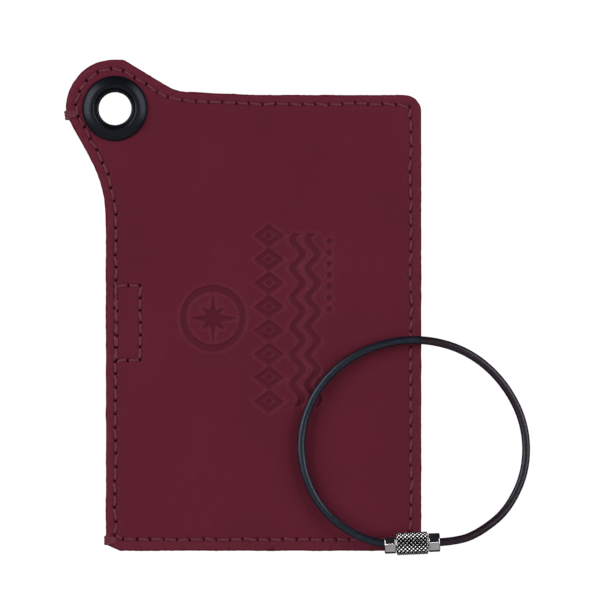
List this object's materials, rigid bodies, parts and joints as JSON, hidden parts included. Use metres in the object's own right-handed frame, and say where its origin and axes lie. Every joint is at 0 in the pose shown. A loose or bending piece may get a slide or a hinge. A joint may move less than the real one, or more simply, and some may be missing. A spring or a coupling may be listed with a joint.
{
  "type": "luggage tag",
  "caption": "Leather luggage tag with a round grommet ear, a side-opening card pocket with a back window, and a loose screw-clasp cable loop.",
  "frame": {"origin": "middle of the tag's back on the surface it lies on", "axes": "+Z out of the front face; +Y along the tag's long side towards the grommet ear; +X away from the open mouth"},
  "size_m": [0.1046, 0.1115, 0.0091],
  "materials": {
    "leather": "smooth matt dyed leather with raw cut edges",
    "lining": "thin suede-like lining",
    "thread": "waxed sewing thread",
    "black_metal": "satin black lacquer",
    "black_washer": "satin black lacquer",
    "polished_steel": "polished",
    "knurled_steel": "bright diamond knurl",
    "cable_coat": "semi-gloss black coating that shows the strands",
    "cable_wire": "stranded wire",
    "window_film": "clear film",
    "card": "uncoated card",
    "magnet": "plated"
  },
  "bodies": {
    "sleeve": {"front_panel": "leather", "back_panel": "leather", "ear_filler": "leather", "top_filler": "leather", "right_filler": "leather", "bottom_filler": "leather", "front_facing": "lining", "back_facing": "lining", "front_magnet": "magnet", "back_magnet": "magnet", "window_film": "window_film", "seam_thread_front": "thread", "seam_thread_back": "thread", "mouth_thread_front": "thread", "mouth_thread_back": "thread", "box_thread_front": "thread", "box_thread_back": "thread", "ear_back_tack": "thread", "corner_back_tack": "thread", "grommet_eyelet": "black_metal", "grommet_washer": "black_washer"},
    "card": {"address_card": "card"},
    "loop_stud_half": {"cable_jacket_left": "cable_coat", "cable_core_left": "cable_wire", "stud_ferrule": "polished_steel"},
    "loop_swivel_half": {"cable_jacket_right": "cable_coat", "cable_core_right": "cable_wire", "swivel_ferrule": "polished_steel"},
    "barrel": {"knurled_barrel": "knurled_steel", "barrel_retainer": "knurled_steel"}
  },
  "joints": [
    {"name": "card_slide", "type": "slide", "parent": "sleeve", "child": "card", "axis": [-1, 0, 0], "range_m": [0, 0.068]},
    {"name": "loop_lift", "type": "slide", "parent": "sleeve", "child": "loop_stud_half", "axis": [0, 0, 1], "range_m": [0, 0.05]},
    {"name": "loop_open", "type": "hinge", "parent": "loop_stud_half", "child": "loop_swivel_half", "pos_m": [0.03607, -0.0079, 0.00485], "axis": [0, 0, 1], "range_deg": [0, 30]},
    {"name": "barrel_spin", "type": "hinge", "parent": "loop_swivel_half", "child": "barrel", "pos_m": [0.0379, -0.0535, 0.0065], "axis": [0.9992, 0.0401, 0], "continuous": true}
  ]
}
